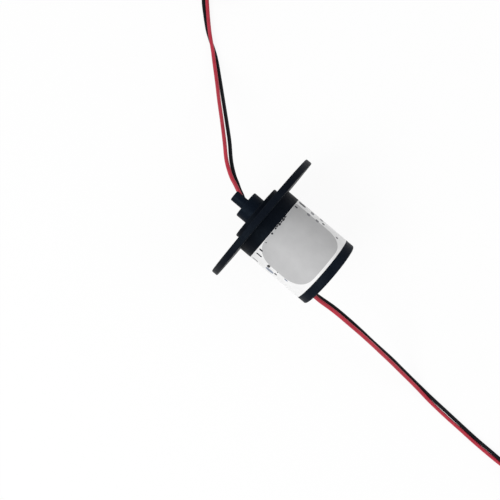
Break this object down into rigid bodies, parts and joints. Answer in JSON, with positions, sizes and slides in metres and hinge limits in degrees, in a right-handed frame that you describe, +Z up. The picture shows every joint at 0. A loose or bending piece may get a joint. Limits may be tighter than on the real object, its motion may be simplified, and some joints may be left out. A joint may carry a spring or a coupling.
{
  "type": "slip ring",
  "caption": "Flanged capsule slip ring: carries current from a fixed barrel to a turning rotor through rings and wire brushes, with loose leads at both ends.",
  "frame": {"origin": "centre of the mounting flange's rear face, on the rotation axis", "axes": "+X along the rotation axis from the rotor's neck towards the rear cap; +Z up, so the leads hang down along -Z"},
  "size_m": [0.1921, 0.0843, 0.043],
  "materials": {
    "black_plastic": "satin black moulded plastic",
    "label_film": "white printed film, slightly glossy",
    "race_steel": "ground bearing steel",
    "ball_steel": "polished",
    "cage_brass": "machined",
    "holder_plastic": "moulded",
    "board_laminate": "glass-fibre laminate",
    "track_copper": "gold-flashed copper",
    "brush_alloy": "drawn gold-alloy wire",
    "ring_alloy": "turned and gold-plated",
    "barrier_plastic": "natural moulded plastic",
    "spring_steel": "blackened spring steel",
    "tinned_copper": "tinned strands",
    "red_insulation": "satin red insulation",
    "black_insulation": "satin black insulation"
  },
  "bodies": {
    "stator": {"housing": "black_plastic", "label": "label_film", "rear_cap": "black_plastic", "front_outer_race": "race_steel", "rear_outer_race": "race_steel", "brush_holder": "holder_plastic", "brush_board": "board_laminate", "board_tracks": "track_copper", "brushes_1": "brush_alloy", "brushes_2": "brush_alloy", "stator_tail_red": "tinned_copper", "stator_tail_black": "tinned_copper", "stator_lead_red": "red_insulation", "stator_lead_black": "black_insulation", "stator_coil": "black_insulation"},
    "rotor": {"rotor_shaft": "black_plastic", "front_inner_race": "race_steel", "rear_inner_race": "race_steel", "contact_ring_1": "ring_alloy", "contact_ring_2": "ring_alloy", "barrier_front": "barrier_plastic", "barrier_middle": "barrier_plastic", "barrier_rear": "barrier_plastic", "retaining_ring": "spring_steel", "rotor_tail_red": "tinned_copper", "rotor_tail_black": "tinned_copper", "rotor_lead_red": "red_insulation", "rotor_lead_black": "black_insulation", "rotor_coil": "black_insulation"},
    "front_ball_cage": {"front_balls": "ball_steel", "front_cage": "cage_brass"},
    "rear_ball_cage": {"rear_balls": "ball_steel", "rear_cage": "cage_brass"}
  },
  "joints": [
    {"name": "rotor_spin", "type": "hinge", "parent": "stator", "child": "rotor", "pos_m": [0, 0, 0], "axis": [1, 0, 0], "continuous": true},
    {"name": "front_cage_spin", "type": "hinge", "parent": "stator", "child": "front_ball_cage", "pos_m": [0, 0, 0], "axis": [1, 0, 0], "continuous": true},
    {"name": "rear_cage_spin", "type": "hinge", "parent": "stator", "child": "rear_ball_cage", "pos_m": [0, 0, 0], "axis": [1, 0, 0], "continuous": true}
  ],
  "couplings": [
    {"joint": "front_cage_spin", "follows": "rotor_spin", "ratio": 0.448},
    {"joint": "rear_cage_spin", "follows": "rotor_spin", "ratio": 0.4375}
  ]
}
